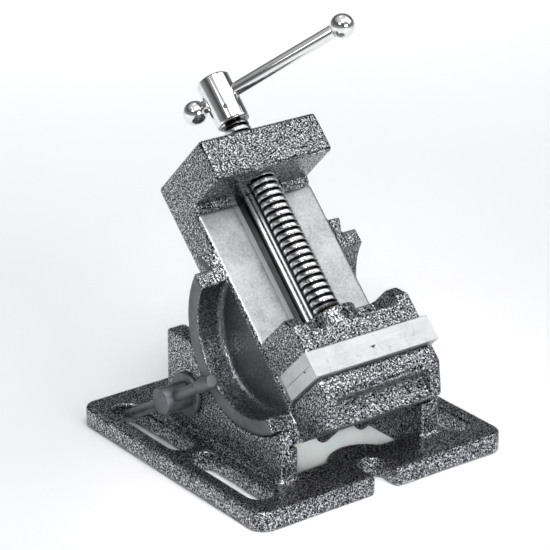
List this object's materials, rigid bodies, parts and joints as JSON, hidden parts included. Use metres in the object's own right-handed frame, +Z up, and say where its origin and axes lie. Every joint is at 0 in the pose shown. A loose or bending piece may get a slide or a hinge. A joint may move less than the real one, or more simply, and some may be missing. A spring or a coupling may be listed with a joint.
{
  "type": "tilting drill press vise",
  "caption": "Cradle-style angle vise: slotted base with arc-seated side walls, a rocking vise casting, a screw-driven sliding jaw with a T-handle, and a tilt clamp.",
  "frame": {"origin": "centre of the base's footprint, on its underside", "axes": "+X to the right seen from the jaw end, +Y from the jaws towards the handle, +Z up; the vise casting is stored tilted 44.2 degrees, handle end up"},
  "size_m": [0.205, 0.205, 0.2789],
  "materials": {
    "hammertone": "glossy hammered grey enamel over cast iron",
    "ground_steel": "surface ground",
    "machined_steel": "turned, lightly oiled",
    "chrome": "bright plated",
    "dark_steel": "dark oxide",
    "brass": "turned"
  },
  "bodies": {
    "cradle": {"cradle_base": "hammertone", "clamp_washer": "dark_steel"},
    "tilting_vise": {"vise_body": "hammertone", "fixed_jaw_plate": "ground_steel", "fixed_plate_screw_left": "dark_steel", "fixed_plate_screw_right": "dark_steel", "guide_rod": "machined_steel"},
    "sliding_jaw": {"movable_jaw": "hammertone", "movable_jaw_plate": "ground_steel", "movable_plate_screw_left": "dark_steel", "movable_plate_screw_right": "dark_steel", "jaw_retaining_screw": "dark_steel", "thrust_washer": "brass"},
    "spindle": {"lead_screw": "machined_steel", "screw_hub": "chrome", "hub_pin": "dark_steel"},
    "tommy": {"tommy_bar": "chrome", "tommy_ball_lower": "chrome", "tommy_ball_upper": "chrome"},
    "clamp_spindle": {"clamp_screw": "dark_steel"},
    "clamp_handle": {"clamp_bar": "dark_steel", "clamp_bar_knob_upper": "dark_steel", "clamp_bar_knob_lower": "dark_steel"},
    "dog": {"clamp_dog": "dark_steel"}
  },
  "joints": [
    {"name": "cradle_tilt", "type": "hinge", "parent": "cradle", "child": "tilting_vise", "pos_m": [0, -0.0363, 0.0994], "axis": [1, 0, 0], "range_deg": [-44.2, 0.8]},
    {"name": "jaw_slide", "type": "slide", "parent": "tilting_vise", "child": "sliding_jaw", "axis": [0, 0.7169, 0.6972], "range_m": [0, 0.09]},
    {"name": "screw_spin", "type": "hinge", "parent": "sliding_jaw", "child": "spindle", "pos_m": [0, -0.04062, 0.10385], "axis": [0, 0.7169, 0.6972], "range_deg": [0, 6480]},
    {"name": "tommy_slide", "type": "slide", "parent": "spindle", "child": "tommy", "axis": [-0.6626, 0.5221, -0.5369], "range_m": [-0.0015, 0.074]},
    {"name": "clamp_spin", "type": "hinge", "parent": "cradle", "child": "clamp_spindle", "pos_m": [-0.0795, 0.0267, 0.0403], "axis": [1, 0, 0], "range_deg": [-2, 60]},
    {"name": "clamp_bar_slide", "type": "slide", "parent": "clamp_spindle", "child": "clamp_handle", "axis": [0, 0.8406, -0.5417], "range_m": [-0.04, 0]},
    {"name": "dog_slide", "type": "slide", "parent": "cradle", "child": "dog", "axis": [-1, 0, 0], "range_m": [-0.0001, 0.0004]}
  ],
  "couplings": [
    {"joint": "jaw_slide", "follows": "screw_spin", "m_per_rad": 0.00079577},
    {"joint": "dog_slide", "follows": "clamp_spin", "m_per_rad": 0.00031831}
  ]
}
